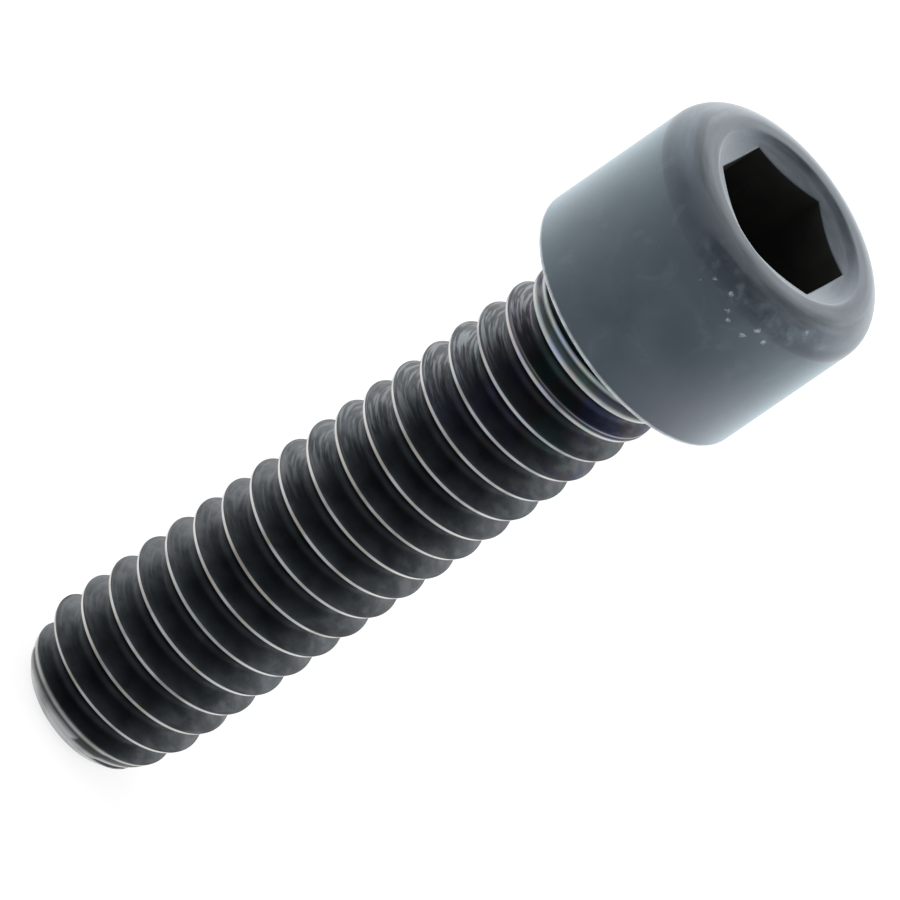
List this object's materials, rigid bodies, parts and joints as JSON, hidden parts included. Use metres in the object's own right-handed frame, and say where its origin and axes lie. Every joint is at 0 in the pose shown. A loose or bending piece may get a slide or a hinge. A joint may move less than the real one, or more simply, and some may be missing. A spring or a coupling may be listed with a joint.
{
  "type": "socket head cap screw",
  "caption": "Socket head cap screw: tall cylindrical head with a rounded shoulder and hexagon socket on a fully threaded shank with a pointed tip.",
  "frame": {"origin": "centre of the flat end of the tip, on the screw's axis and at its lowest point", "axes": "+Z along the screw's axis from the tip to the head; -Y is the side that faces the picture's camera"},
  "size_m": [0.0094, 0.0094, 0.0318],
  "materials": {
    "black_oxide_steel": "black oxide, satin, with worn bright thread crests"
  },
  "bodies": {
    "root": {"cap_screw": "black_oxide_steel"}
  },
  "joints": []
}
